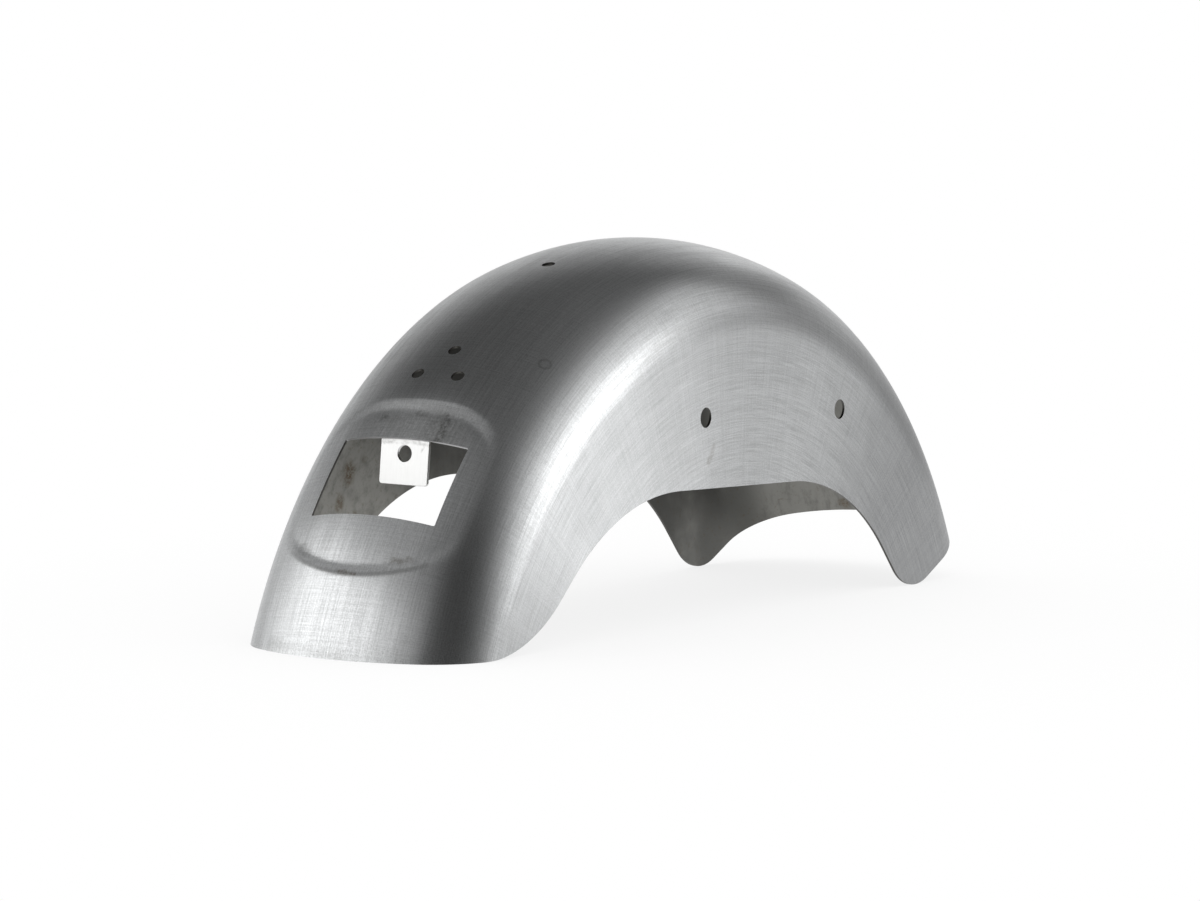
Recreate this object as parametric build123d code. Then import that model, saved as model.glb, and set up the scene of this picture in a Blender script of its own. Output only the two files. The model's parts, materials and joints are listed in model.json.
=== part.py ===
from build123d import *
import os
from build123d.topology import SkipClean
from math import asin, atan2, cos, degrees, radians, sin, sqrt, tan

# Motorcycle rear fender: one pressed steel sheet with a recessed lamp seat, and a lamp tab welded inside it.
# Millimetres. It is drawn about the wheel axle, with X ahead, Y to the left and Z up. Angles in degrees run about
# the axle from straight ahead, over the top, to the tail. The last step stands it on its tail edge and front lobes.

# Sheet and cross-section, measured on the outside
crown_radius = 345.0        # wheel axle to the middle of the crown
width = 168.0               # over the two flat sides
crown_curve = 138.0         # radius of the crown across the fender
shoulder_curve = 49.0       # radius between the crown and each side
sheet = 1.6                 # thickness of the steel

# Trimmed outline, seen from the side
front_angle = 27.2          # straight front edge, in line with the axle
tail_angle = 162.95         # tail end of the crown
skirt_height = 193.2        # level lower edge, over the axle
skirt_rear = -145.0         # where the level edge would meet the rear slope
skirt_front = 129.0         # where the level edge would meet the front slope
rear_slope = 43.5           # fall of the lower edge towards the tail, from level
front_slope = 45.0          # fall of the lower edge towards the front lobe, from level
tail_sweep = 115.0          # radius between the tail edge and the rear slope
rear_arch = 170.0           # radius between the rear slope and the level edge
front_arch = 167.0          # radius between the level edge and the front slope
lobe_radius = 38.0          # rounded lower front corner

# Lamp seat, pressed into the back of the crown
seat_angle = 143.8          # middle of the seat
seat_height = 121.0         # from its upper to its lower rim
seat_rim = 44.0             # straight middle stretch of the upper rim
seat_corner = 48.0          # corner radius of the rim
seat_foot_curve = 92.0      # radius of the lower rim
seat_depth = 3.5            # below the crown, in the middle
seat_floor_sweep = 500.0    # radius of the floor along the fender, flatter than the crown
seat_floor_curve = 180.0    # radius of the floor across the fender
punch_edge = 10.0           # rounded edge of the punch, which leaves the seat's coved walls
rim_round = 5.0             # rounded rim where the sheet turns into the seat

# Lamp window, cut through the seat
window_angle = 143.05
window_width = 88.5
window_height = 55.5
window_corner = 1.0

# Punched holes
strut_hole = 12.7
strut_spacing = 164.0       # between the two holes of one side
strut_rear = -49.6          # rear hole, ahead of the axle
strut_height = 237.4        # both holes, over the axle
bracket_hole = 8.3
bracket_pair_angle = 129.9
bracket_pair_spacing = 28.8
bracket_apex_angle = 126.2
seat_screw_hole = 8.3
seat_screw_angle = 107.5

# Lamp tab, a strip bent to hang behind the upper edge of the window
tab_width = 34.5
tab_thickness = 2.0
tab_length = 28.2           # hanging leg, from the bend's corner
tab_flange = 16.0           # welded leg, from the bend's corner
tab_setback = 1.5           # bend's corner, up the seat from the window's edge
tab_bend = 2.0              # inside radius of the bend
tab_lean = 3.2              # lower end of the hanging leg, back from upright
tab_hole = 10.0
tab_hole_drop = 8.4         # below the bend's corner
tab_corner = 2.0
weld_gap = 0.1              # from the flange's long edges to the sheet

# Worked out from the sizes above
AXLE = Axis((0, 0, 0), (0, -1, 0))          # positive turns run from the front, over the top
CLEAR = crown_radius                        # reach of cutting bodies past what they cut
LEEWAY = 6.0                                # degrees that the untrimmed crown runs past its ends
floor_hub = crown_radius - seat_depth - seat_floor_sweep    # centre of the floor's sweep, along the seat's spoke
punch_reach = crown_radius / 6              # height of the punch over the seat, and below it


def spoke(angle, radius=1.0):
    """Point at an angle and radius from the axle, in the fender's middle plane."""
    return Vector(radius * cos(radians(angle)), 0, radius * sin(radians(angle)))


def outward_plane(angle, radius):
    """Plane facing outwards on the crown: x across the fender, y up the crown towards its top."""
    return Plane(origin=spoke(angle, radius), x_dir=(0, -1, 0), z_dir=spoke(angle))


def section_plane(angle, origin=(0, 0, 0)):
    """Plane of a cross-section: x across the fender to the left, y outwards along the spoke."""
    return Plane(origin=origin, x_dir=(0, 1, 0), z_dir=spoke(angle - 90))


def crown_body(inset):
    """Solid inside the outer surface moved in by inset, before it is trimmed."""
    half = width / 2 - inset
    shoulder_y = width / 2 - shoulder_curve
    crown_mid = crown_radius - crown_curve
    lean = degrees(asin(shoulder_y / (crown_curve - shoulder_curve)))
    shoulder_mid = crown_mid + (crown_curve - shoulder_curve) * cos(radians(lean))
    foot = skirt_height / 2 - inset
    start = front_angle - LEEWAY
    with BuildSketch(section_plane(start)) as section:
        with BuildLine():
            CenterArc((0, crown_mid), crown_curve - inset, 90 - lean, 2 * lean)
            CenterArc((shoulder_y, shoulder_mid), shoulder_curve - inset, 0, 90 - lean)
            CenterArc((-shoulder_y, shoulder_mid), shoulder_curve - inset, 90 + lean, 90 - lean)
            Polyline((-half, shoulder_mid), (-half, foot), (half, foot), (half, shoulder_mid))
        make_face()
    return revolve(section.sketch, AXLE, tail_angle + LEEWAY - start)


def seat_floor(drop):
    """Solid under the seat's floor, lowered by drop and wider than the punch."""
    hub = spoke(seat_angle, floor_hub)
    curve = seat_floor_curve - drop
    curve_mid = seat_floor_sweep - drop - curve
    half = seat_rim / 2 + seat_corner + 2 * punch_edge
    lean = degrees(asin(half / curve))
    edge = curve_mid + curve * cos(radians(lean))
    foot = edge - 3 * punch_reach
    half_turn = degrees(asin(seat_height / seat_floor_sweep))
    with BuildSketch(section_plane(seat_angle - half_turn, hub)) as section:
        with BuildLine():
            CenterArc((0, curve_mid), curve, 90 - lean, 2 * lean)
            Polyline((-half, edge), (-half, foot), (half, foot), (half, edge))
        make_face()
    return revolve(section.sketch, Axis(hub, (0, -1, 0)), 2 * half_turn)


def seat_punch(grow):
    """Punch that presses the seat, larger all round by grow, which is the sheet for the inner face."""
    top = seat_height / 2
    side = seat_rim / 2 + seat_corner
    foot_side = seat_foot_curve - top - sqrt(seat_foot_curve**2 - side**2)
    # The rim lies inside the punch's own outline, because the crown meets the rounded edge part way up
    crown_drop = crown_radius - sqrt(crown_radius**2 - top**2)
    floor_drop = seat_depth + seat_floor_sweep - sqrt(seat_floor_sweep**2 - top**2)
    bite = min(floor_drop - crown_drop, punch_edge)
    lean = asin(top / crown_radius)
    reach = punch_edge - sqrt(bite * (2 * punch_edge - bite)) * cos(lean) + (punch_edge - bite) * sin(lean)
    with BuildSketch(outward_plane(seat_angle, crown_radius)) as outline:
        with BuildLine():
            Polyline((-side, foot_side), (-side, top), (side, top), (side, foot_side))
            ThreePointArc((side, foot_side), (0, -top), (-side, foot_side))
        make_face()
        fillet(outline.vertices(), seat_corner)
        offset(amount=reach + grow, mode=Mode.REPLACE)
    punch = extrude(outline.sketch, amount=punch_reach, both=True) - seat_floor(grow)
    face = punch.faces().sort_by(Axis((0, 0, 0), spoke(seat_angle)))[0]
    return fillet(face.edges(), punch_edge + grow)


def pressed_body(inset):
    """Crown body with the seat pressed in and its rim rounded."""
    crown = crown_body(inset)
    punch = seat_punch(inset)
    body = crown - punch
    rim = new_edges(crown, punch, combined=body)
    return fillet(rim, rim_round - inset)


def trim_outline():
    """Corners and corner radii of the lower edge from the tail to the front, and the line it stands on."""
    tail = spoke(tail_angle, crown_radius)
    front = spoke(front_angle)
    run = skirt_height + skirt_front * tan(radians(front_slope))
    lobe_x = run / (tan(radians(front_angle)) + tan(radians(front_slope)))
    lobe = Vector(lobe_x, 0, lobe_x * tan(radians(front_angle)))
    # Centre of the rounded lobe, and the line from the tail that just touches it from below
    half_corner = (180 - front_slope - front_angle) / 2
    hub = lobe + spoke(front_angle + half_corner, lobe_radius / sin(radians(half_corner)))
    span = hub - tail
    stand = degrees(atan2(span.Z, span.X) - asin(lobe_radius / span.length))
    fall = tan(radians(rear_slope))
    rise = tan(radians(stand))
    rear_x = (tail.Z - tail.X * rise - skirt_height + skirt_rear * fall) / (fall - rise)
    rear_z = tail.Z + (rear_x - tail.X) * rise
    past_tail = tail - spoke(stand, CLEAR)
    past_front = lobe + front * CLEAR
    corners = [
        (past_tail.X, past_tail.Z),
        (rear_x, rear_z),
        (skirt_rear, skirt_height),
        (skirt_front, skirt_height),
        (lobe.X, lobe.Z),
        (past_front.X, past_front.Z),
        (past_front.X, crown_radius + CLEAR),
        (past_tail.X, crown_radius + CLEAR),
    ]
    radii = [0, tail_sweep, rear_arch, front_arch, lobe_radius, 0, 0, 0]
    return corners, radii, stand


def punch(plane, outline):
    """Punch of an outline along a plane's normal, through one wall only."""
    return extrude(plane * outline, amount=punch_reach, both=True)


def hole_punches():
    """Punches for the lamp window and for every hole in the sheet."""
    bracket = Circle(bracket_hole / 2)
    pair = outward_plane(bracket_pair_angle, crown_radius)
    window = RectangleRounded(window_width, window_height, window_corner)
    punches = [
        punch(outward_plane(window_angle, crown_radius), window),
        punch(outward_plane(bracket_apex_angle, crown_radius), bracket),
        punch(outward_plane(seat_screw_angle, crown_radius), Circle(seat_screw_hole / 2)),
    ]
    for side in (-1, 1):
        punches.append(punch(pair, Pos(side * bracket_pair_spacing / 2, 0) * bracket))
        for x in (strut_rear, strut_rear + strut_spacing):
            place = Plane(origin=(x, side * width / 2, strut_height), x_dir=(1, 0, 0), z_dir=(0, side, 0))
            punches.append(punch(place, Circle(strut_hole / 2)))
    return punches


def fender_shell():
    """Pressed sheet: the crown and sides with the seat, trimmed to its outline and punched."""
    corners, radii, _ = trim_outline()
    with BuildSketch(Plane.XZ) as outline:
        with BuildLine():
            FilletPolyline(*corners, radius=radii, close=True)
        make_face()
    trim = extrude(outline.sketch, amount=width, both=True)
    # The crown keeps its holes only if its faces aren't merged again after each cut
    with SkipClean():
        shell = (pressed_body(0) - pressed_body(sheet)) & trim
        for hole in hole_punches():
            shell = shell - hole
    return shell


def lamp_tab():
    """Bent strip: a flange welded under the seat's floor and a leg with a hole that hangs behind the window."""
    window_top = window_angle - degrees(asin(window_height / 2 / crown_radius))
    hub = spoke(seat_angle, floor_hub)
    # Turn about the hub of the floor's sweep, from the window's edge to the bend's corner and the flange's end
    edge = spoke(window_top, crown_radius) - hub
    under = seat_floor_sweep - sheet
    corner_turn = degrees(atan2(edge.Z, edge.X)) - degrees(tab_setback / under)
    middle_turn = corner_turn - degrees(tab_flange / 2 / under)
    curve = seat_floor_curve - sheet
    side_rise = under - curve + sqrt(curve**2 - (tab_width / 2) ** 2)
    seat_rise = sqrt(side_rise**2 - (tab_flange / 2) ** 2) - weld_gap
    along = spoke(middle_turn - 90)
    out = spoke(middle_turn)
    corner = hub + out * seat_rise - along * (tab_flange / 2)
    end = corner + along * tab_flange
    hang = spoke(-90 - tab_lean)
    foot = corner + hang * tab_length
    with BuildSketch(Plane.XZ) as profile:
        with BuildLine():
            FilletPolyline((end.X, end.Z), (corner.X, corner.Z), (foot.X, foot.Z), radius=tab_bend + tab_thickness)
            offset(amount=tab_thickness, side=Side.LEFT)
        make_face()
    tab = extrude(profile.sketch, amount=tab_width / 2, both=True)
    leg_plane = Plane(origin=corner, x_dir=(0, 1, 0), z_dir=Vector(0, 1, 0).cross(hang))
    hole = leg_plane * Pos(0, tab_hole_drop) * Circle(tab_hole / 2)
    tab = tab - extrude(hole, amount=3 * tab_thickness, both=True)
    foot_edges = [edge for edge in tab.edges() if (edge @ 0.5 - foot).dot(hang) > -0.01]
    across = [edge for edge in foot_edges if abs((edge @ 0).Y - (edge @ 1).Y) < 0.01]
    return fillet(across, tab_corner)


def stand_up(shape):
    """Turn the fender to stand level on its tail edge and lobes, with its origin at the middle of its footprint."""
    _, _, stand = trim_outline()
    front_x = crown_radius * cos(radians(front_angle - stand))
    tail = spoke(tail_angle - stand, crown_radius)
    return Pos(-(front_x + tail.X) / 2, 0, -tail.Z) * shape.rotate(Axis.Y, stand)


if __name__ == "__main__":
    os.makedirs("parts", exist_ok=True)
    export_step(stand_up(fender_shell()), "parts/fender_shell.step")
    export_step(stand_up(lamp_tab()), "parts/lamp_tab.step")
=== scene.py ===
"""Bare steel rear fender of a motorcycle: the pressed shell, the lamp tab inside it and a plain studio."""

import json
import math

import bpy
from bpy.props import FloatProperty, FloatVectorProperty, PointerProperty
from mathutils import Matrix, Vector
from mathutils.geometry import intersect_line_line


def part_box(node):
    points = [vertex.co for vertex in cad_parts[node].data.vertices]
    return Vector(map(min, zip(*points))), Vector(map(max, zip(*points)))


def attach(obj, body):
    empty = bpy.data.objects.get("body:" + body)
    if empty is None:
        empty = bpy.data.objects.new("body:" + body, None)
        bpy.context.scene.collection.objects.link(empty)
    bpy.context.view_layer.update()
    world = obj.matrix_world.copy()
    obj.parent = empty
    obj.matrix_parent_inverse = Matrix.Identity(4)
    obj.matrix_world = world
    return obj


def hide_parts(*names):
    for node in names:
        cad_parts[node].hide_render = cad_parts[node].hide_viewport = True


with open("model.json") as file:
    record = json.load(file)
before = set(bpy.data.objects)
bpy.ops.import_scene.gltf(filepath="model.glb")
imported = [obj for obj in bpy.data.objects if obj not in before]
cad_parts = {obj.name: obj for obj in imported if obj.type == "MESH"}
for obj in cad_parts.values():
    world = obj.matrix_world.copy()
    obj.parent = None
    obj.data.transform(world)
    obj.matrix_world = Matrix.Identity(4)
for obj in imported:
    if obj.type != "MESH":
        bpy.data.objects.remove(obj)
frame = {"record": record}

bl_info = {
    "name": "Motorcycle Rear Fender",
    "version": (1, 0, 0),
    "blender": (4, 5, 0),
    "location": "View3D > Sidebar > Fender",
    "description": "Presses, trims and punches a bare steel rear fender and lights it in a plain studio",
    "category": "Object",
}

MM = 0.001
LEFT = Vector((0, 1, 0))
LEAN = math.radians(1.736)      # turn from the line of the strut holes down to the floor
TOUCHING = MM / 100             # points as close as this are one
PUNCH_DEPTH = 40 * MM           # length of a punch, which goes through one wall
SEAT_FADE = 0.5 * MM            # rounding where the seat's floor runs out into the crown
TAB_EDGE = 0.25 * MM            # bevel of the tab's edges

SENSOR_WIDTH = 36               # camera's frame in millimetres

# Studio in metres, and the edges of the opening for its backdrop in degrees, from the front to the left
WALL_RADIUS = 10.0
LAMP_DISTANCE = 0.8 * WALL_RADIUS
FLOOR_RADIUS = 1.5 * WALL_RADIUS
LAMP_AIM = Vector((0, 0, 0.12))
SHADE_REACH = 0.4
BACKDROP_RIGHT = 11
BACKDROP_LEFT = 82
BACKDROP_TOP = 24

# Steps of the meshes: round the trim's corners, across the sheet, along it, and round holes and bends
CORNER_STEPS = 40
SIDE_STEPS = 8
SHOULDER_STEPS = 20
CROWN_STEPS = 86
FRONT_STEPS = 120
SEAT_STEPS = 116
TAIL_STEPS = 12
HOLE_SIDES = 72
ROUND_STEPS = 6
BEND_STEPS = 12
OVERRUN = math.radians(3)       # sheet past its front and tail, before the trim
FOOT_SHARE = 0.97               # lower end of the untrimmed sides, as a share of the skirt's height
SEAT_SHARE = 0.56               # half of the finely stepped stretch, as a share of the seat's height

# Softboxes: the level of each, then in degrees its azimuth, elevation, width and height
SOFTBOXES = {
    "key_softbox": ("key", -50.7, 9, 20.7, 18),
    "key_spill": ("key_spill", -52, 30.5, 57.6, 36.4),
    "fill_softbox": ("fill", 137.6, 19.8, 67.4, 39.6),
    "fill_spill": ("fill_spill", 137, 35, 79, 70),
    "back_spill": ("back_spill", 37, 33, 90, 15),
}


def mount(name):
    """Place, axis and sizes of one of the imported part's mounts."""
    for entry in frame["record"]["mounts"]:
        if entry["name"] == name:
            return Vector(entry["pos_m"]), Vector(entry["axis"]).normalized(), entry["dims"]
    raise KeyError(f"the packed part has no mount named {name}")


def find_axle():
    """Middle of the wheel's axle, where the axes of the screw hole and the window meet."""
    hole, hole_axis, _ = mount("seat_screw")
    window, window_axis, _ = mount("lamp_seat")
    return intersect_line_line(hole, hole + hole_axis, window, window + window_axis)[0]


AXLE = find_axle()
SHELL_LOW, SHELL_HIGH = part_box("fender_shell")
TAB_LOW, TAB_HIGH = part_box("lamp_tab")


def length(name, description, default):
    """Length property, with its default in millimetres."""
    return FloatProperty(
        name=name, description=description, default=default * MM, unit="LENGTH", precision=4
    )


def angle(name, description, default):
    """Angle property, with its default in degrees."""
    return FloatProperty(
        name=name, description=description, default=math.radians(default), subtype="ANGLE"
    )


def colour(name, description, default):
    """Colour property, with a linear default."""
    return FloatVectorProperty(
        name=name, description=description, default=default, subtype="COLOR", size=3, min=0, max=1
    )


def level(name, description, default):
    """Plain number property."""
    return FloatProperty(name=name, description=description, default=default, min=0)


class ShellSizes(bpy.types.PropertyGroup):
    """Sizes of the pressed sheet. Angles run from the front, over the top, about the wheel's axle."""

    crown_radius: length("Crown radius", "Outer face of the crown, from the axle", 345)
    crown_curve: length("Crown curve", "Radius of the crown across the fender", 138)
    shoulder_curve: length("Shoulder curve", "Radius between the crown and a side", 49)
    sheet: length("Sheet", "Thickness of the steel", 1.6)
    front_angle: angle("Front angle", "Front edge of the sheet", 27.2)
    tail_angle: angle("Tail angle", "Lower end of the tail", 162.95)
    skirt_height: length("Skirt height", "Straight lower edge of a side, above the axle", 193.2)
    skirt_rear: length("Skirt rear", "Rear end of that edge, from the axle", -145)
    skirt_front: length("Skirt front", "Front end of that edge, from the axle", 129)
    rear_slope: angle("Rear slope", "Fall of the lower edge behind the side", 43.5)
    front_slope: angle("Front slope", "Fall of the lower edge before the side", 45)
    tail_sweep: length("Tail sweep", "Curve from the fall into the tail's lower edge", 115)
    rear_arch: length("Rear arch", "Curve from the side into the rear fall", 170)
    front_arch: length("Front arch", "Curve from the side into the front fall", 167)
    lobe_radius: length("Lobe radius", "Rounding of the front lobes", 38)
    seat_angle: angle("Seat angle", "Middle of the lamp seat", 144.05)
    seat_height: length("Seat height", "Lamp seat along the crown, from rim to rim", 124)
    seat_rim: length("Seat rim", "Straight upper edge of the seat between its corners", 44)
    seat_corner: length("Seat corner", "Radius of the seat's corners", 48)
    seat_foot_curve: length("Seat foot curve", "Radius of the seat's lower edge", 92)
    seat_depth: length("Seat depth", "Middle of the seat's floor below the crown", 1.9)
    seat_tilt: angle("Seat tilt", "Lean of the seat's floor, which makes it deeper at the top", 0.2)
    seat_floor_sweep: length("Floor sweep", "Radius of the floor along the crown", 380)
    seat_floor_curve: length("Floor curve", "Radius of the floor across, at the seat's top", 151)
    seat_foot_bowl: length("Foot bowl", "Radius of the floor across, at the seat's foot", 147)
    seat_wall: length("Seat wall", "Width of the sloping wall between the rim and the floor", 7.4)
    seat_crease: length("Seat crease", "Length of the bends at the rim and at the floor", 2.4)
    window_width: length("Window width", "Lamp window across the fender", 88.5)
    window_height: length("Window height", "Lamp window along the crown", 55.5)
    window_corner: length("Window corner", "Radius of the window's corners", 1)


class TabSizes(bpy.types.PropertyGroup):
    """Sizes of the bent tab that hangs behind the lamp window."""

    thickness: length("Thickness", "Thickness of the strip", 2)
    leg: length("Leg", "Hanging leg, from the bend's corner", 27)
    flange: length("Flange", "Welded leg, from the bend's corner", 16)
    bend: length("Bend", "Inside radius of the bend", 2)
    hole_drop: length("Hole drop", "Hole below the bend's corner", 8.4)
    corner: length("Corner", "Rounding of the leg's lower corners", 2)
    lift: length("Lift", "How far the flange is raised to meet the pressed seat", 1.8)
    settle: angle("Settle", "Turn that lays the flange along the pressed seat", 2)


class SteelColours(bpy.types.PropertyGroup):
    """Colours of the bare steel and of what marks it."""

    bright: colour("Bright steel", "Freshly brushed steel", (0.655, 0.665, 0.67))
    worn: colour("Worn steel", "Duller steel between the strokes", (0.42, 0.427, 0.43))
    # Painted shade: the lobes' steel is made darker for the dimmer look of their cross-brushed finish
    lobe: colour("Lobe steel", "Duller steel of the front lobes", (0.238, 0.241, 0.244))
    # Painted shade: the inside steel is made this dark for the shade inside the fender
    dull_shaded: colour("Dull steel", "Unbrushed steel inside the fender", (0.112, 0.112, 0.105))
    # Also painted light: the lighter inside walls near the tail
    bare: colour("Bare steel", "Cleaner patches inside the fender", (0.29, 0.288, 0.268))
    rust: colour("Rust", "Rust spots and brown dirt", (0.10, 0.072, 0.042))
    # Grime also paints shade: along the seat's lower crease, the tail's lower edge and the window's side
    # edges
    grime: colour("Grime", "Dark dirt in scratches and on cut edges", (0.12, 0.118, 0.11))
    # Painted highlight: the bright colour of the window's top and foot edges
    cut: colour("Cut edge", "Clean sheared edges of the window", (0.45, 0.45, 0.455))
    tab: colour("Tab steel", "Clean steel of the tab", (0.735, 0.735, 0.728))


class StudioLevels(bpy.types.PropertyGroup):
    """Light, floor and camera of the studio."""

    paper: colour("Paper", "White paper of the floor", (0.9, 0.9, 0.9))
    shade: level("Shade", "How far the fender's shade darkens the paper", 0.16)
    walls: colour("Walls", "Dark paint of the studio's walls", (0.02, 0.02, 0.02))
    ceiling: level("Ceiling", "Brightness of the studio's dim ceiling", 0.1)
    backdrop_glow: level("Backdrop glow", "Brightness of the walls beside the white backdrop", 0.75)
    key: level("Key light", "Brightness of the softbox on the right", 4.3)
    key_spill: level("Key spill", "Brightness of the soft panel over that softbox", 0.84)
    fill: level("Fill light", "Brightness of the softbox on the left", 1.6)
    fill_spill: level("Fill spill", "Brightness of the soft panel round that softbox", 0.43)
    back_spill: level("Back spill", "Brightness of the soft panel over the backdrop", 0.37)
    azimuth: angle("Azimuth", "Camera's turn round the fender", -57.325)
    elevation: angle("Elevation", "Camera's height over the horizon", 5.236)
    roll: angle("Roll", "Camera's turn about its view", 0.811)
    lens: level("Lens", "Focal length in millimetres on a 36 mm frame", 159.144)
    place: FloatVectorProperty(
        name="Place",
        description="Camera's place",
        default=(-2.8142, -1.7893, 0.4052),
        subtype="TRANSLATION",
        unit="LENGTH",
        size=3,
    )


def spoke(turn):
    """Direction from the axle at an angle, as the fender stands on the floor."""
    return Vector((math.cos(turn - LEAN), 0, math.sin(turn - LEAN)))


def drawn(x, z):
    """Point given by its distance in front of the axle and above it, level with the strut holes."""
    return AXLE + spoke(0) * x + spoke(math.pi / 2) * z


def start_vertex(name, place):
    """New mesh object in edit mode that is one selected vertex, a plane merged to its middle."""
    bpy.ops.object.select_all(action="DESELECT")
    bpy.ops.mesh.primitive_plane_add(size=MM)
    piece = bpy.context.object
    piece.name = name
    bpy.ops.object.mode_set(mode="EDIT")
    bpy.ops.mesh.merge(type="CENTER")
    bpy.ops.transform.translate(value=place)
    return piece


def extrude(step):
    """Extrudes what is selected by one step."""
    bpy.ops.mesh.extrude_region_move(TRANSFORM_OT_translate={"value": step})


def turn_about(centre, axis, turn, steps):
    """Spins what is selected about an axis."""
    bpy.ops.mesh.spin(steps=steps, angle=turn, center=centre, axis=axis)


def close_mesh(piece, outwards=None):
    """Merges doubles, points every face outwards and leaves edit mode.

    An open sheet is told which way is out.
    """
    bpy.ops.mesh.select_all(action="SELECT")
    bpy.ops.mesh.remove_doubles(threshold=TOUCHING)
    bpy.ops.mesh.normals_make_consistent(inside=False)
    bpy.ops.object.mode_set(mode="OBJECT")
    if outwards and sum(face.normal.dot(outwards) * face.area for face in piece.data.polygons) < 0:
        bpy.ops.object.mode_set(mode="EDIT")
        bpy.ops.mesh.flip_normals()
        bpy.ops.object.mode_set(mode="OBJECT")


def deselect_mesh():
    """Deselects all of the active mesh, so that parts of it can be selected by their place."""
    bpy.ops.object.mode_set(mode="EDIT")
    bpy.ops.mesh.select_mode(type="VERT")
    bpy.ops.mesh.select_all(action="DESELECT")
    bpy.ops.object.mode_set(mode="OBJECT")


def round_selected(radius, kind):
    """Rounds the selected edges or corners of the active mesh."""
    bpy.ops.object.mode_set(mode="EDIT")
    bpy.ops.mesh.bevel(offset=radius, segments=ROUND_STEPS, affect=kind)
    bpy.ops.object.mode_set(mode="OBJECT")


def shade_smooth(piece, turn):
    """Shades a piece smooth, apart from edges that turn by more than an angle in degrees."""
    bpy.ops.object.select_all(action="DESELECT")
    piece.select_set(True)
    bpy.context.view_layer.objects.active = piece
    bpy.ops.object.shade_smooth_by_angle(angle=math.radians(turn))


def apply_modifier(piece, kind, **settings):
    """Adds a modifier to a piece and applies it."""
    modifier = piece.modifiers.new(kind.title(), kind)
    for name, value in settings.items():
        setattr(modifier, name, value)
    bpy.context.view_layer.objects.active = piece
    bpy.ops.object.modifier_apply(modifier=modifier.name)


def cut(piece, cutter, operation):
    """Cuts a piece with another object, whose material goes on the cut faces, and deletes the cutter."""
    apply_modifier(
        piece, "BOOLEAN", object=cutter, operation=operation, solver="EXACT", material_mode="TRANSFER"
    )
    bpy.data.objects.remove(cutter)


def trace_outline(name, corners, radii):
    """Closed flat outline with rounded corners, each run extruded and each corner spun, then filled."""
    place = (corners[-1] + corners[0]) / 2
    outline = start_vertex(name, place)
    first = place
    for index, corner in enumerate(corners):
        heading = (corner - place).normalized()
        leaving = (corners[(index + 1) % len(corners)] - corner).normalized()
        turn = heading.angle(leaving)
        reach = radii[index] * math.tan(turn / 2)
        extrude(corner - heading * reach - place)
        if reach:
            inward = (leaving - heading).normalized()
            centre = corner + inward * radii[index] / math.cos(turn / 2)
            turn_about(centre, leaving.cross(heading), turn, CORNER_STEPS)
        place = corner + leaving * reach
    extrude(first - place)
    bpy.ops.mesh.select_all(action="SELECT")
    bpy.ops.mesh.remove_doubles(threshold=TOUCHING)
    bpy.ops.mesh.edge_face_add()
    return outline


def sweep_crown(sizes):
    """Outer face of the sheet before pressing: its cross-section as a chain of edges, spun about the axle.

    It runs past its front and tail, and below its sides, for the trim to cut.
    """
    start = sizes.front_angle - OVERRUN
    finish = sizes.tail_angle + OVERRUN
    seat_half = math.asin(sizes.seat_height * SEAT_SHARE / sizes.crown_radius)
    half = (SHELL_HIGH.y - SHELL_LOW.y) / 2
    shoulder_y = half - sizes.shoulder_curve
    crown_mid = sizes.crown_radius - sizes.crown_curve
    lean = math.asin(shoulder_y / (sizes.crown_curve - sizes.shoulder_curve))
    shoulder_mid = crown_mid + (sizes.crown_curve - sizes.shoulder_curve) * math.cos(lean)
    foot = sizes.skirt_height * FOOT_SHARE
    out = spoke(start)
    across = LEFT.cross(out)
    rise = out * (shoulder_mid - foot) / SIDE_STEPS
    skin = start_vertex("pressed_shell", AXLE + out * foot - LEFT * half)
    for _ in range(SIDE_STEPS):
        extrude(rise)
    shoulder = AXLE + out * shoulder_mid
    turn_about(shoulder - LEFT * shoulder_y, across, math.pi / 2 - lean, SHOULDER_STEPS)
    turn_about(AXLE + out * crown_mid, across, 2 * lean, CROWN_STEPS)
    turn_about(shoulder + LEFT * shoulder_y, across, math.pi / 2 - lean, SHOULDER_STEPS)
    for _ in range(SIDE_STEPS):
        extrude(-rise)
    bpy.ops.mesh.select_all(action="SELECT")
    for turn, steps in (
        (sizes.seat_angle - seat_half - start, FRONT_STEPS),
        (2 * seat_half, SEAT_STEPS),
        (finish - sizes.seat_angle - seat_half, TAIL_STEPS),
    ):
        turn_about(AXLE, LEFT, turn, steps)
    close_mesh(skin, spoke(math.pi / 2))
    return skin


def seat_distance(sizes, across, up):
    """Distance of a point from the core of the seat's outline, which is a corner's radius inside it."""
    side = sizes.seat_rim / 2
    top = sizes.seat_height / 2 - sizes.seat_corner
    foot_radius = sizes.seat_foot_curve - sizes.seat_corner
    foot_mid = sizes.seat_foot_curve - sizes.seat_height / 2
    foot = foot_mid - math.sqrt(foot_radius**2 - side**2)
    across = abs(across)
    if up >= top:
        return math.hypot(max(across - side, 0), up - top)
    if up >= foot:
        return max(across - side, 0)
    if across * foot_radius <= side * math.hypot(across, up - foot_mid):
        return max(math.hypot(across, up - foot_mid) - foot_radius, 0)
    return math.hypot(across - side, up - foot)


def rounded_ramp(value, bend):
    """Zero below zero and the value itself above it, with the corner rounded over a bend each way."""
    if abs(value) >= bend:
        return max(value, 0)
    return (value + bend) ** 2 / (4 * bend)


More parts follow.
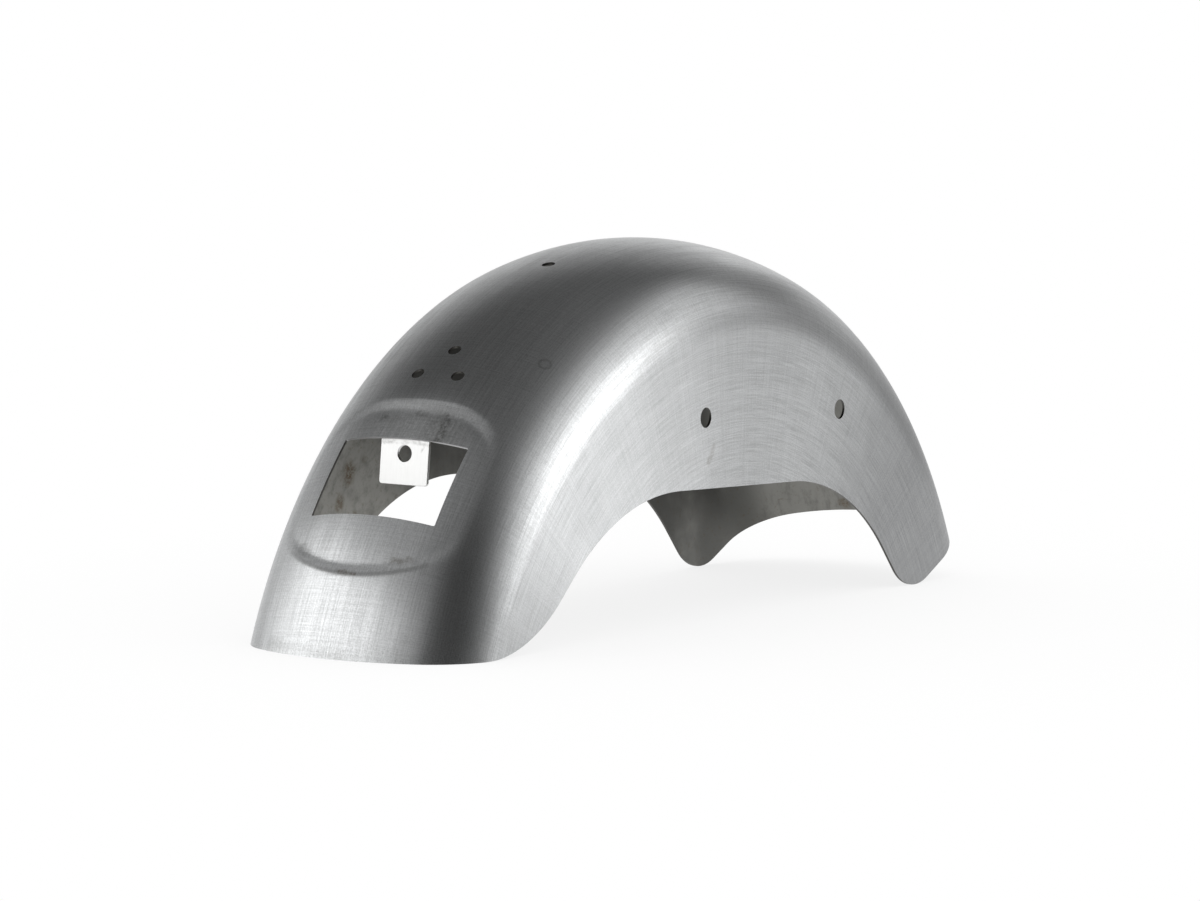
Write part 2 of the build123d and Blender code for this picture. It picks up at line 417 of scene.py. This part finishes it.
def press_seat(skin, sizes):
    """Presses the lamp seat: each point inside its rim moves in along the punch's stroke."""
    stroke = spoke(sizes.seat_angle)
    upward = spoke(sizes.seat_angle - math.pi / 2)
    middle = AXLE + stroke * sizes.crown_radius
    hub_up = -sizes.seat_floor_sweep * math.sin(sizes.seat_tilt)
    hub_out = -sizes.seat_depth - sizes.seat_floor_sweep * math.cos(sizes.seat_tilt)
    for vertex in skin.data.vertices:
        offset = vertex.co - middle
        height = offset.dot(stroke)
        up = offset.dot(upward)
        inside = sizes.seat_corner - seat_distance(sizes, offset.y, up)
        if height < -sizes.crown_radius / 4 or inside <= -sizes.seat_crease:
            continue                # far round the fender, or outside the rim
        rise = min(max(up / sizes.seat_height + 0.5, 0), 1)
        curve = sizes.seat_foot_bowl + (sizes.seat_floor_curve - sizes.seat_foot_bowl) * rise
        sweep = sizes.seat_floor_sweep - curve + math.sqrt(curve**2 - offset.y**2)
        floor = hub_out + math.sqrt(sweep**2 - (up - hub_up) ** 2)
        bite = rounded_ramp(height - floor, SEAT_FADE)
        # Share of the full depth: none outside the rim, all of it past the wall, and straight between them
        rim = rounded_ramp(inside, sizes.seat_crease / 2)
        foot = rounded_ramp(inside - sizes.seat_wall, sizes.seat_crease / 2)
        vertex.co -= stroke * bite * (rim - foot) / sizes.seat_wall
    skin.data.update()


def trim_body(sizes):
    """Block with the fender's outline from the side, which keeps what is inside it."""
    reach = sizes.crown_radius
    tail = Vector((math.cos(sizes.tail_angle), math.sin(sizes.tail_angle))) * reach
    front_rise = math.tan(sizes.front_angle)
    front_fall = math.tan(sizes.front_slope)
    lobe_x = (sizes.skirt_height + sizes.skirt_front * front_fall) / (front_rise + front_fall)
    lobe = Vector((lobe_x, lobe_x * front_rise))
    rise = math.tan(LEAN)
    fall = math.tan(sizes.rear_slope)
    rear_x = (tail.y - tail.x * rise - sizes.skirt_height + sizes.skirt_rear * fall) / (fall - rise)
    rear = Vector((rear_x, tail.y + (rear_x - tail.x) * rise))
    past_tail = tail - Vector((1, rise)) * reach
    past_front = lobe + Vector((1, front_rise)) * reach
    corners = [
        past_tail,
        rear,
        Vector((sizes.skirt_rear, sizes.skirt_height)),
        Vector((sizes.skirt_front, sizes.skirt_height)),
        lobe,
        past_front,
        Vector((past_front.x, 2 * reach)),
        Vector((past_tail.x, 2 * reach)),
    ]
    radii = [0, sizes.tail_sweep, sizes.rear_arch, sizes.front_arch, sizes.lobe_radius, 0, 0, 0]
    width = SHELL_HIGH.y - SHELL_LOW.y
    places = [drawn(corner.x, corner.y) - LEFT * width for corner in corners]
    body = trace_outline("trim_body", places, radii)
    extrude(LEFT * 2 * width)
    close_mesh(body)
    return body


def facing(place, axis):
    """Matrix that takes the Z axis to an axis and the X axis to the left, at a place."""
    upward = axis.cross(LEFT)
    if upward.length < 0.5:         # the axis itself runs to a side
        upward = axis.cross(Vector((1, 0, 0)))
    upward.normalize()
    return Matrix.Translation(place) @ Matrix((upward.cross(axis), upward, axis)).transposed().to_4x4()


def hole_punch(place, axis, radius):
    """Round punch through one wall."""
    bpy.ops.object.select_all(action="DESELECT")
    bpy.ops.mesh.primitive_cylinder_add(vertices=HOLE_SIDES, radius=radius, depth=PUNCH_DEPTH)
    punch = bpy.context.object
    punch.data.transform(facing(place, axis))
    return punch


def window_punch(sizes):
    """Oblong punch with rounded corners for the lamp window."""
    place, axis, _ = mount("lamp_seat")
    bpy.ops.object.select_all(action="DESELECT")
    bpy.ops.mesh.primitive_cube_add(size=1)
    punch = bpy.context.object
    punch.data.transform(Matrix.Diagonal((sizes.window_width, sizes.window_height, PUNCH_DEPTH, 1)))
    deselect_mesh()
    for edge in punch.data.edges:
        ends = [punch.data.vertices[index].co for index in edge.vertices]
        edge.select = abs(ends[0].z - ends[1].z) > MM
    round_selected(sizes.window_corner, "EDGES")
    punch.data.transform(facing(place, axis))
    return punch


def sheet_punches(sizes):
    """Every punch of the sheet joined into one object: the window and the round holes."""
    punches = [window_punch(sizes)]
    for name in ("bracket_apex", "seat_screw"):
        place, axis, dims = mount(name)
        punches.append(hole_punch(place, axis, dims["r_mm"] * MM))
    pairs = {"bracket_pair": LEFT, "strut_holes_right": spoke(0), "strut_holes_left": spoke(0)}
    for name, spread in pairs.items():
        place, axis, dims = mount(name)
        for end in (-1, 1):
            hole = place + spread * end * dims["pcd_mm"] / 2 * MM
            punches.append(hole_punch(hole, axis, dims["hole_r_mm"] * MM))
    bpy.ops.object.select_all(action="DESELECT")
    for punch in punches:
        punch.select_set(True)
    bpy.context.view_layer.objects.active = punches[0]
    bpy.ops.object.join()
    return punches[0]


def round_feet(tab, foot, hang, radius):
    """Rounds the two corners at the foot of the tab's flat strip."""
    deselect_mesh()
    for vertex in tab.data.vertices:
        vertex.select = (vertex.co - foot).dot(hang) > -TOUCHING
    round_selected(radius, "VERTICES")


def shaded(shade, factor):
    """Colour made darker or brighter by a factor."""
    return tuple(part * factor for part in shade)


class Finish:
    """Node tree of one material, with short calls for the nodes that it needs."""

    def __init__(self, name):
        self.material = bpy.data.materials.new(name)
        self.material.use_nodes = True
        self.tree = self.material.node_tree
        self.shader = self.tree.nodes["Principled BSDF"]

    def feed(self, socket, value):
        """Links a socket to another node's output, or sets its value."""
        if isinstance(value, bpy.types.NodeSocket):
            self.tree.links.new(value, socket)
        else:
            socket.default_value = value

    def node(self, kind, *values, **settings):
        """New node with its settings and its first inputs, of which None leaves one as it is."""
        node = self.tree.nodes.new(kind)
        for name, value in settings.items():
            setattr(node, name, value)
        for socket, value in zip(node.inputs, values):
            if value is not None:
                self.feed(socket, value)
        return node

    def sums(self, operation, *values):
        """Math node."""
        return self.node("ShaderNodeMath", *values, operation=operation).outputs[0]

    def product(self, first, *others):
        """Product of two numbers or more."""
        for other in others:
            first = self.sums("MULTIPLY", first, other)
        return first

    def arrows(self, operation, *values):
        """Vector Math node that gives a vector."""
        return self.node("ShaderNodeVectorMath", *values, operation=operation).outputs["Vector"]

    def measure(self, operation, *values):
        """Vector Math node that gives a number."""
        return self.node("ShaderNodeVectorMath", *values, operation=operation).outputs["Value"]

    def scaled(self, vector, factor):
        """Vector times a number."""
        node = self.node("ShaderNodeVectorMath", vector, operation="SCALE")
        self.feed(node.inputs["Scale"], factor)
        return node.outputs["Vector"]

    def parts(self, vector):
        """Three parts of a vector."""
        return self.node("ShaderNodeSeparateXYZ", vector).outputs

    def noise(self, vector, scale, detail, rough):
        """Noise texture's value, from 0 to 1."""
        node = self.node("ShaderNodeTexNoise")
        self.feed(node.inputs["Vector"], vector)
        self.feed(node.inputs["Scale"], scale)
        self.feed(node.inputs["Detail"], detail)
        self.feed(node.inputs["Roughness"], rough)
        return node.outputs[0]

    def streaks(self, vector, stretch, detail, rough):
        """Noise with a scale of its own along each part of a vector."""
        return self.noise(self.arrows("MULTIPLY", vector, stretch), 1.0, detail, rough)

    def span(self, value, low, high, to_low=0.0, to_high=1.0):
        """Map Range node with a smooth step."""
        node = self.node("ShaderNodeMapRange", value, low, high, to_low, to_high)
        node.interpolation_type = "SMOOTHSTEP"
        return node.outputs[0]

    def mix(self, factor, first, second):
        """Mix of two colours, which are inputs 6 and 7 of a Mix node and its output 2."""
        node = self.node("ShaderNodeMix", factor, data_type="RGBA")
        for socket, shade in ((node.inputs[6], first), (node.inputs[7], second)):
            self.feed(socket, shade if isinstance(shade, bpy.types.NodeSocket) else (*shade, 1))
        return node.outputs[2]

    def set(self, **values):
        """Inputs of the shader."""
        for name, value in values.items():
            self.feed(self.shader.inputs[name.replace("_", " ")], value)

    def coordinates(self):
        """Object coordinates."""
        return self.node("ShaderNodeTexCoord").outputs["Object"]

    def normal(self):
        """Direction that the surface faces."""
        return self.node("ShaderNodeNewGeometry").outputs["Normal"]

    def sideways(self, vector):
        """Size of a vector's part across the fender."""
        return self.sums("ABSOLUTE", self.parts(vector)[1])

    def polar(self):
        """Object coordinates, the arm from the axle, the turn about it in radians, and the place unrolled.

        The unrolled place runs along the arc, across, and outwards.
        """
        place = self.coordinates()
        front, left, upward = self.parts(self.arrows("SUBTRACT", place, tuple(AXLE)))
        arm = self.node("ShaderNodeCombineXYZ", front, 0.0, upward).outputs[0]
        turn = self.sums("ARCTAN2", upward, front)
        unrolled = self.node("ShaderNodeCombineXYZ", turn, left, self.measure("LENGTH", arm)).outputs[0]
        return place, arm, turn, unrolled

    def ring(self, distance, radius, core, reach, strength):
        """Mask of a thin ring, by the distance from its middle: full in its core, none past its reach."""
        gap = self.sums("ABSOLUTE", self.sums("SUBTRACT", distance, radius))
        return self.span(gap, core, reach, strength, 0.0)

    def stroke(self, place, start, end, reach):
        """Mask of a soft stroke between two points in millimetres: full inside, none past its reach."""
        start = Vector(start) * MM
        run = Vector(end) * MM - start
        offset = self.arrows("SUBTRACT", place, tuple(start))
        if run.length > 0:
            share = self.measure("DOT_PRODUCT", offset, tuple(run / run.length_squared))
            share = self.node("ShaderNodeClamp", share).outputs[0]
            offset = self.arrows("SUBTRACT", offset, self.scaled(tuple(run), share))
        return self.span(self.measure("LENGTH", offset), 0.2 * reach * MM, reach * MM, 1.0, 0.0)

    def marks(self, place, base, marks):
        """Base colour with soft marks on it, ragged and broken up by noise.

        A mark has its colour, its strength, and in millimetres its reach and its two ends.
        """
        ragged = self.noise(place, 480.0, 3.0, 0.7)
        shake = self.node("ShaderNodeTexNoise", place, None, 150.0).outputs["Color"]
        shake = self.arrows("SUBTRACT", shake, (0.5, 0.5, 0.5))
        place = self.arrows("ADD", place, self.scaled(shake, 6 * MM))
        for shade, strength, reach, start, end in marks:
            broken = self.span(ragged, 0.3, 0.62, 0.25 * strength, strength)
            base = self.mix(self.product(self.stroke(place, start, end, reach), broken), base, shade)
        return base


def crease_dirt_and_shade(finish, place, sizes):
    """Mask of the dirt and painted shade along the seat's lower rim, a ring about the middle of the rim's
    curve.
    """
    stroke = spoke(sizes.seat_angle)
    upward = spoke(sizes.seat_angle - math.pi / 2)
    middle = AXLE + stroke * sizes.crown_radius
    centre = middle + upward * (sizes.seat_foot_curve - sizes.seat_height / 2)
    arm = finish.arrows("SUBTRACT", place, tuple(centre))
    distance = finish.measure("LENGTH", finish.arrows("CROSS_PRODUCT", arm, tuple(stroke)))
    return finish.product(
        finish.ring(distance, sizes.seat_foot_curve - 1.2 * MM, 0.4 * MM, 2.2 * MM, 0.34),
        finish.span(finish.sideways(place), 40 * MM, 56 * MM, 1.0, 0.0),
        finish.span(finish.parts(place)[2], centre.z - 30 * MM, centre.z - 10 * MM, 1.0, 0.0),
    )


def brushed_steel(colours, sizes):
    """Outside of the sheet: steel brushed along the arc and more faintly across, with marks of handling,
    and painted shade on the front lobes, the sides behind the middle, the seat's lower crease and the
    tail's lower edge.
    """
    finish = Finish("brushed_steel")
    place, arm, turn, unrolled = finish.polar()
    strokes = finish.streaks(unrolled, (9.0, 1500.0, 1500.0), 2.0, 0.6)
    arcs = finish.streaks(unrolled, (1.8, 20.0, 480.0), 2.0, 0.55)
    crossing = finish.streaks(unrolled, (620.0, 30.0, 30.0), 2.0, 0.6)
    grain = finish.noise(place, 1000.0, 2.0, 0.7)
    cloud = finish.noise(place, 24.0, 3.0, 0.55)
    tone = finish.sums("MULTIPLY", strokes, 0.32)
    for layer, share in ((arcs, 0.12), (crossing, 0.2), (grain, 0.31), (cloud, 0.05)):
        tone = finish.sums("MULTIPLY_ADD", layer, share, tone)
    # The brushing has less contrast towards the tail
    contrast = finish.span(finish.sums("MULTIPLY_ADD", cloud, 0.8, turn), 1.5, 2.4, 1.0, 0.85)
    tone = finish.sums("MULTIPLY_ADD", finish.sums("SUBTRACT", tone, 0.5), contrast, 0.5)
    tone_limits = (0.37, 0.63)
    bright = finish.span(tone, *tone_limits)
    base = finish.mix(bright, colours.worn, colours.bright)
    # Painted shade: the front lobes are darker for the dimmer look of their cross-brushed finish, and the
    # sides behind the middle are darker too
    lobes = finish.span(finish.sums("MULTIPLY_ADD", cloud, 0.15, turn), 0.75, 1.4, 0.9, 0.0)
    base = finish.mix(lobes, base, finish.mix(bright, colours.lobe, shaded(colours.lobe, 1.4)))
    # Painted shade on the sides behind the middle
    sides = finish.product(
        finish.span(turn, 1.78, 1.95),
        finish.span(turn, 2.28, 2.45, 1.0, 0.0),
        finish.span(finish.sideways(place), 81.5 * MM, 84 * MM),
    )
    side_shade_worn = shaded(colours.worn, 0.86)
    side_shade_bright = shaded(colours.bright, 0.86)
    base = finish.mix(sides, base, finish.mix(bright, side_shade_worn, side_shade_bright))
    # Grit near the tail's edge, dirt and painted shade along the seat's lower rim, and a ring mark on the
    # crown
    grit = finish.span(finish.noise(place, 950.0, 2.0, 0.6), 0.54, 0.7, 0.0, 0.45)
    grit = finish.product(grit, finish.span(turn, 2.74, 2.83))
    from_mark = finish.measure("DISTANCE", place, tuple(Vector((-174.9, -56.7, 167.2)) * MM))
    ring_mark = finish.ring(from_mark, 3.6 * MM, 0.3 * MM, 1.3 * MM, 0.28)
    for mask in (grit, crease_dirt_and_shade(finish, place, sizes), ring_mark):
        base = finish.mix(mask, base, colours.grime)
    finish.set(Base_Color=finish.marks(place, base, (
        (colours.rust, 0.3, 3.0, (-26.1, -84.0, 108.9), (-30.4, -84.0, 98.7)),
        (colours.grime, 0.5, 4.0, (-231.2, 21.4, 135.8), (-231.2, 21.4, 135.8)),
        (colours.grime, 0.5, 4.5, (-230.2, -3.2, 138.9), (-230.2, -7.0, 138.9)),
        (colours.grime, 0.6, 3.5, (-228.4, -22.9, 138.1), (-241.6, -24.9, 124.3)),
        (colours.grime, 0.3, 14.0, (-232.0, -20.0, 134.0), (-240.0, -24.0, 126.0)),
        (colours.grime, 0.25, 22.0, (-234.0, 30.0, 131.0), (-234.0, -30.0, 131.0)),
        (colours.rust, 0.6, 2.6, (-298.1, -6.0, 49.1), (-298.1, 5.0, 49.1)),
        (colours.rust, 0.5, 3.4, (-288.1, -41.0, 58.5), (-289.5, -28.0, 57.0)),
        (colours.grime, 0.4, 6.0, (-284.9, 42.7, 59.0), (-286.0, 36.0, 57.0)),
        # Painted shade along the tail's lower edge
        (colours.grime, 0.25, 6.0, (-308.8, 45.1, 4.0), (-317.7, -10.5, 1.0)),
    )))
    finish.set(Metallic=1.0, Anisotropic=0.85)
    finish.set(Roughness=finish.span(tone, *tone_limits, 0.37, 0.28))
    bump = finish.node("ShaderNodeBump")
    finish.feed(bump.inputs["Strength"], 0.3)
    finish.feed(bump.inputs["Distance"], 0.12 * MM)
    finish.feed(bump.inputs["Height"], tone)
    finish.set(Normal=bump.outputs[0])
    # The shine is stretched across the brushing
    along = finish.arrows("CROSS_PRODUCT", arm, tuple(LEFT))
    finish.set(Tangent=finish.arrows("CROSS_PRODUCT", along, finish.normal()))
    return finish.material


def shaded_inside_steel(colours):
    """Inside of the sheet: dull rolled steel, painted dark for the shade inside the fender, with cleaner
    patches, painted light on the walls near the tail, lighter steel near the front, dark streaks and rust
    spots.
    """
    finish = Finish("shaded_inside_steel")
    place, _, turn, unrolled = finish.polar()
    cloud = finish.noise(place, 16.0, 4.0, 0.6)
    across = finish.sideways(place)
    ragged_turn = finish.sums("MULTIPLY_ADD", cloud, 0.3, turn)
    # Painted light: the inside walls near the tail are lighter where light reaches in, and the steel inside
    # near the front is lighter too
    tail = finish.product(finish.span(ragged_turn, 2.1, 2.4), finish.span(across, 40 * MM, 70 * MM))
    front = finish.product(
        finish.span(ragged_turn, 0.9, 1.2, 0.7, 0.0), finish.span(across, 62 * MM, 80 * MM, 1.0, 0.0)
    )
    patches = finish.span(cloud, 0.4, 0.75, 0.0, 0.5)
    for mask in (tail, front):
        patches = finish.sums("MAXIMUM", patches, mask)
    base = finish.mix(patches, colours.dull_shaded, colours.bare)
    scuffs = finish.streaks(unrolled, (25.0, 160.0, 160.0), 5.0, 0.7)
    base = finish.mix(finish.span(scuffs, 0.44, 0.74, 0.0, 0.6), base, colours.grime)
    scale = finish.noise(place, 300.0, 4.0, 0.75)
    base = finish.mix(finish.span(scale, 0.55, 0.75, 0.0, 0.5), base, colours.rust)
    finish.set(Base_Color=finish.marks(place, base, (
        (colours.rust, 0.9, 8.0, (-178.9, 82.3, 95.2), (-181.0, 82.3, 91.0)),
        (colours.rust, 0.8, 6.0, (-189.0, 82.4, 77.5), (-190.0, 82.4, 74.0)),
        (colours.rust, 0.6, 4.0, (-173.0, 82.4, 67.6), (-173.0, 82.4, 67.6)),
        (colours.rust, 0.6, 4.0, (-164.1, 82.4, 100.9), (-164.1, 82.4, 100.9)),
        (colours.rust, 0.7, 6.0, (314.1, 17.5, 40.8), (314.1, 17.5, 40.8)),
        (colours.grime, 0.6, 12.0, (230.4, 82.3, 38.2), (236.0, 82.3, 34.0)),
        (colours.grime, 0.6, 10.0, (270.2, 82.3, 14.5), (264.0, 82.3, 18.0)),
    )))
    finish.set(Metallic=1.0, Roughness=finish.span(cloud, 0.3, 0.7, 0.55, 0.42))
    return finish.material


def cut_steel(colours):
    """Sheared edges of the sheet: dirty steel with drag lines, and a painted highlight along the window's
    top and foot.
    """
    finish = Finish("cut_steel")
    place, _, turn, _ = finish.polar()
    drag = finish.noise(place, 900.0, 2.0, 0.6)
    # Painted highlight: near the window, edges that face up or down get the bright cut colour; the dark
    # dirt on the side edges is partly painted shade
    level_edges = finish.span(finish.sideways(finish.normal()), 0.4, 0.9, 1.0, 0.0)
    lit_edges = finish.product(finish.span(turn, 2.3, 2.38), level_edges)
    dirt = finish.mix(drag, shaded(colours.grime, 0.5), colours.grime)
    finish.set(Base_Color=finish.mix(lit_edges, dirt, colours.cut), Metallic=1.0, Roughness=0.4)
    return finish.material


def tab_steel(colours):
    """Clean bright steel of the tab, brushed along its leg, with a faint mark near its top left and a faint
    dark band across its top.
    """
    finish = Finish("tab_steel")
    place = finish.coordinates()
    strokes = finish.streaks(place, (900.0, 900.0, 40.0), 2.0, 0.6)
    base = finish.mix(strokes, shaded(colours.tab, 0.9), colours.tab)
    hole, back, _ = mount("tab_hole")
    hang = back.cross(LEFT)

    def spot(side, down):
        """Point of the leg, in millimetres to the left of its hole and below it."""
        return hole / MM + LEFT * side + hang * down

    finish.set(Base_Color=finish.marks(place, base, (
        # A faint mark near the top left, and a faint dark band across the top of the leg
        (colours.grime, 0.5, 1.6, spot(-13, -4.5), spot(-11, -1)),
        (colours.grime, 0.4, 2.4, spot(16, -6.5), spot(-17, -6.5)),
    )))
    finish.set(Metallic=1.0, Roughness=0.4)
    return finish.material


def white_paper(levels):
    """Paper of the floor: white to the eye and in the steel, and darker where the fender shades it."""
    finish = Finish("white_paper")
    finish.set(Base_Color=(*levels.paper, 1), Roughness=0.9, Specular_IOR_Level=0.0)
    path = finish.node("ShaderNodeLightPath").outputs
    seen = finish.sums("MAXIMUM", path["Is Camera Ray"], path["Is Glossy Ray"])
    seen = finish.sums("MAXIMUM", seen, path["Is Transmission Ray"])
    shade = finish.node("ShaderNodeAmbientOcclusion", samples=1)
    finish.feed(shade.inputs["Distance"], SHADE_REACH)
    glow = finish.node("ShaderNodeEmission", (1, 1, 1, 1))
    strength = finish.span(shade.outputs["AO"], 0.0, 1.0, 1 - levels.shade, 1.0)
    finish.feed(glow.inputs["Strength"], strength)
    both = finish.node("ShaderNodeMixShader", seen, finish.shader.outputs[0], glow.outputs[0])
    finish.tree.links.new(both.outputs[0], finish.tree.nodes["Material Output"].inputs["Surface"])
    return finish.material


def wall_paint(levels):
    """Dark paint of the studio's walls, with a dim ceiling and a low glow beside the backdrop."""
    finish = Finish("wall_paint")
    finish.set(Base_Color=(*levels.walls, 1), Roughness=1.0, Specular_IOR_Level=0.0)
    front, left, height = finish.parts(finish.coordinates())
    ceiling = finish.span(height, WALL_RADIUS * 0.65, WALL_RADIUS * 0.9, 0.0, levels.ceiling)
    azimuth = finish.sums("ARCTAN2", left, front)
    glow = finish.product(
        finish.span(azimuth, math.radians(-36), math.radians(14), 0.0, levels.backdrop_glow),
        finish.span(azimuth, math.radians(50), math.radians(60), 1.0, 0.0),
        finish.span(height, WALL_RADIUS * 0.24, WALL_RADIUS * 0.42, 1.0, 0.0),
    )
    finish.set(Emission_Color=(1, 1, 1, 1), Emission_Strength=finish.sums("ADD", ceiling, glow))
    return finish.material


def compass(azimuth, elevation):
    """Direction from the fender, by degrees from its front towards its left, and above the floor."""
    turn = math.radians(azimuth)
    height = math.radians(elevation)
    level_part = math.cos(height)
    return Vector((math.cos(turn) * level_part, math.sin(turn) * level_part, math.sin(height)))


def softbox(name, azimuth, elevation, width, height, brightness):
    """Oblong lamp that faces the fender and spans so many degrees, like white paper at brightness 1."""
    direction = compass(azimuth, elevation)
    lamp = bpy.data.lights.new(name, "AREA")
    lamp.shape = "RECTANGLE"
    lamp.size = 2 * LAMP_DISTANCE * math.tan(math.radians(width / 2))
    lamp.size_y = 2 * LAMP_DISTANCE * math.tan(math.radians(height / 2))
    lamp.energy = brightness * math.pi * lamp.size * lamp.size_y
    holder = bpy.data.objects.new(name, lamp)
    bpy.context.scene.collection.objects.link(holder)
    holder.location = direction * LAMP_DISTANCE + LAMP_AIM
    holder.rotation_mode = "QUATERNION"
    holder.rotation_quaternion = direction.to_track_quat("Z", "Y")
    holder.visible_camera = False


def studio_walls(levels):
    """Dark dome round the fender, unseen by the camera and open where the white backdrop is."""
    bpy.ops.object.select_all(action="DESELECT")
    bpy.ops.mesh.primitive_uv_sphere_add(segments=144, ring_count=72, radius=WALL_RADIUS)
    walls = bpy.context.object
    walls.name = "studio_walls"
    deselect_mesh()
    for face in walls.data.polygons:
        azimuth = math.degrees(math.atan2(face.center.y, face.center.x))
        elevation = math.degrees(math.asin(face.center.normalized().z))
        backdrop = BACKDROP_RIGHT < azimuth < BACKDROP_LEFT and elevation < BACKDROP_TOP
        face.select = backdrop or elevation < 0
    bpy.ops.object.mode_set(mode="EDIT")
    bpy.ops.mesh.delete(type="FACE")
    bpy.ops.object.mode_set(mode="OBJECT")
    walls.data.materials.append(wall_paint(levels))
    walls.visible_camera = False


def set_camera(levels):
    """Camera at the photograph's viewing angle."""
    camera = bpy.data.objects.new("camera", bpy.data.cameras.new("camera"))
    bpy.context.scene.collection.objects.link(camera)
    turn = levels.azimuth
    level_part = math.cos(levels.elevation)
    back = Vector((math.sin(turn) * level_part, -math.cos(turn) * level_part, 0))
    back.z = math.sin(levels.elevation)
    level_right = Vector((math.cos(turn), math.sin(turn), 0))
    level_up = back.cross(level_right)
    right = level_right * math.cos(levels.roll) + level_up * math.sin(levels.roll)
    camera.matrix_world = (
        Matrix.Translation(levels.place)
        @ Matrix((right, back.cross(right), back)).transposed().to_4x4()
    )
    camera.data.lens = levels.lens
    camera.data.sensor_width = SENSOR_WIDTH
    bpy.context.scene.camera = camera


class FENDER_OT_shell(bpy.types.Operator):
    """Press, trim and punch the fender's sheet"""

    bl_idname = "fender.press_shell"
    bl_label = "Press Shell"

    def execute(self, context):
        sizes = context.scene.fender_shell
        colours = context.scene.fender_steel
        shell = sweep_crown(sizes)
        press_seat(shell, sizes)
        shell.data.materials.append(brushed_steel(colours, sizes))
        shell.data.materials.append(shaded_inside_steel(colours))
        apply_modifier(
            shell, "SOLIDIFY", thickness=sizes.sheet, offset=-1, use_even_offset=True, material_offset=1
        )
        edges = cut_steel(colours)
        for cutter, operation in ((trim_body(sizes), "INTERSECT"), (sheet_punches(sizes), "DIFFERENCE")):
            cutter.data.materials.clear()
            cutter.data.materials.append(edges)
            cut(shell, cutter, operation)
        shade_smooth(shell, 40)
        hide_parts("fender_shell")
        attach(shell, "root")
        return {"FINISHED"}


class FENDER_OT_tab(bpy.types.Operator):
    """Bend the lamp tab and punch its hole"""

    bl_idname = "fender.bend_tab"
    bl_label = "Bend Tab"

    def execute(self, context):
        sizes = context.scene.fender_tab
        colours = context.scene.fender_steel
        hole, back, dims = mount("tab_hole")
        hang = back.cross(LEFT)
        # The bend's outer corner and the flange's rise as packed, then laid against the pressed seat
        corner = hole + back * sizes.thickness / 2 - hang * sizes.hole_drop
        rise = math.asin((TAB_HIGH.z - corner.z) / sizes.flange) - sizes.settle
        flange = Vector((math.cos(rise), 0, math.sin(rise)))
        leg = sizes.leg + sizes.lift
        corner -= hang * sizes.lift
        outer = sizes.bend + sizes.thickness
        half = (TAB_HIGH.y - TAB_LOW.y) / 2
        turn = math.pi - flange.angle(hang)
        reach = outer * math.tan(turn / 2)
        inward = (hang + flange).normalized()
        centre = corner + inward * outer / math.cos(turn / 2)
        tab = start_vertex("bent_tab", corner + flange * sizes.flange - LEFT * half)
        extrude(flange * (reach - sizes.flange))
        turn_about(centre - LEFT * half, hang.cross(-flange), turn, BEND_STEPS)
        extrude(hang * (leg - reach))
        bpy.ops.mesh.select_all(action="SELECT")
        extrude(LEFT * 2 * half)
        close_mesh(tab, back)
        round_feet(tab, corner + hang * leg, hang, sizes.corner)
        apply_modifier(tab, "SOLIDIFY", thickness=sizes.thickness, offset=-1, use_even_offset=True)
        tab.data.materials.append(tab_steel(colours))
        cut(tab, hole_punch(hole, back, dims["r_mm"] * MM), "DIFFERENCE")
        apply_modifier(tab, "BEVEL", width=TAB_EDGE, segments=2, limit_method="ANGLE")
        shade_smooth(tab, 50)
        apply_modifier(tab, "WEIGHTED_NORMAL", weight=100, keep_sharp=True)
        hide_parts("lamp_tab")
        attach(tab, "root")
        return {"FINISHED"}


class FENDER_OT_studio(bpy.types.Operator):
    """Set the floor, the walls, the softboxes and the camera"""

    bl_idname = "fender.set_studio"
    bl_label = "Set Studio"

    def execute(self, context):
        levels = context.scene.fender_studio
        scene = context.scene
        bpy.ops.object.select_all(action="DESELECT")
        bpy.ops.mesh.primitive_circle_add(vertices=64, radius=FLOOR_RADIUS, fill_type="NGON")
        floor = context.object
        floor.name = "paper_floor"
        floor.data.materials.append(white_paper(levels))
        studio_walls(levels)
        for name, (level_name, *spread) in SOFTBOXES.items():
            softbox(name, *spread, getattr(levels, level_name))
        world = bpy.data.worlds.new("white_backdrop")
        world.use_nodes = True
        world.node_tree.nodes["Background"].inputs["Color"].default_value = (1, 1, 1, 1)
        scene.world = world
        set_camera(levels)
        scene.view_settings.view_transform = "Standard"
        return {"FINISHED"}


class FENDER_PT_sidebar(bpy.types.Panel):
    """Buttons that build the fender and its studio"""

    bl_label = "Rear Fender"
    bl_idname = "FENDER_PT_sidebar"
    bl_space_type = "VIEW_3D"
    bl_region_type = "UI"
    bl_category = "Fender"

    def draw(self, context):
        for maker in MAKERS:
            self.layout.operator(maker.bl_idname)
        for name in GROUPS:
            group = getattr(context.scene, name)
            box = self.layout.box()
            for key in group.__annotations__:
                box.prop(group, key)


GROUPS = {
    "fender_shell": ShellSizes,
    "fender_tab": TabSizes,
    "fender_steel": SteelColours,
    "fender_studio": StudioLevels,
}
MAKERS = (FENDER_OT_shell, FENDER_OT_tab, FENDER_OT_studio)


def register():
    """Registers the property groups, operators and panel."""
    for name, group in GROUPS.items():
        bpy.utils.register_class(group)
        setattr(bpy.types.Scene, name, PointerProperty(type=group))
    for maker in (*MAKERS, FENDER_PT_sidebar):
        bpy.utils.register_class(maker)


def unregister():
    """Takes everything that register adds out again."""
    for maker in (FENDER_PT_sidebar, *reversed(MAKERS)):
        bpy.utils.unregister_class(maker)
    for name, group in reversed(GROUPS.items()):
        delattr(bpy.types.Scene, name)
        bpy.utils.unregister_class(group)


def main():
    """Builds the fender and its studio."""
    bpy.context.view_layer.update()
    register()
    bpy.ops.fender.press_shell()
    bpy.ops.fender.bend_tab()
    bpy.ops.fender.set_studio()


if __name__ == "__main__":
    main()
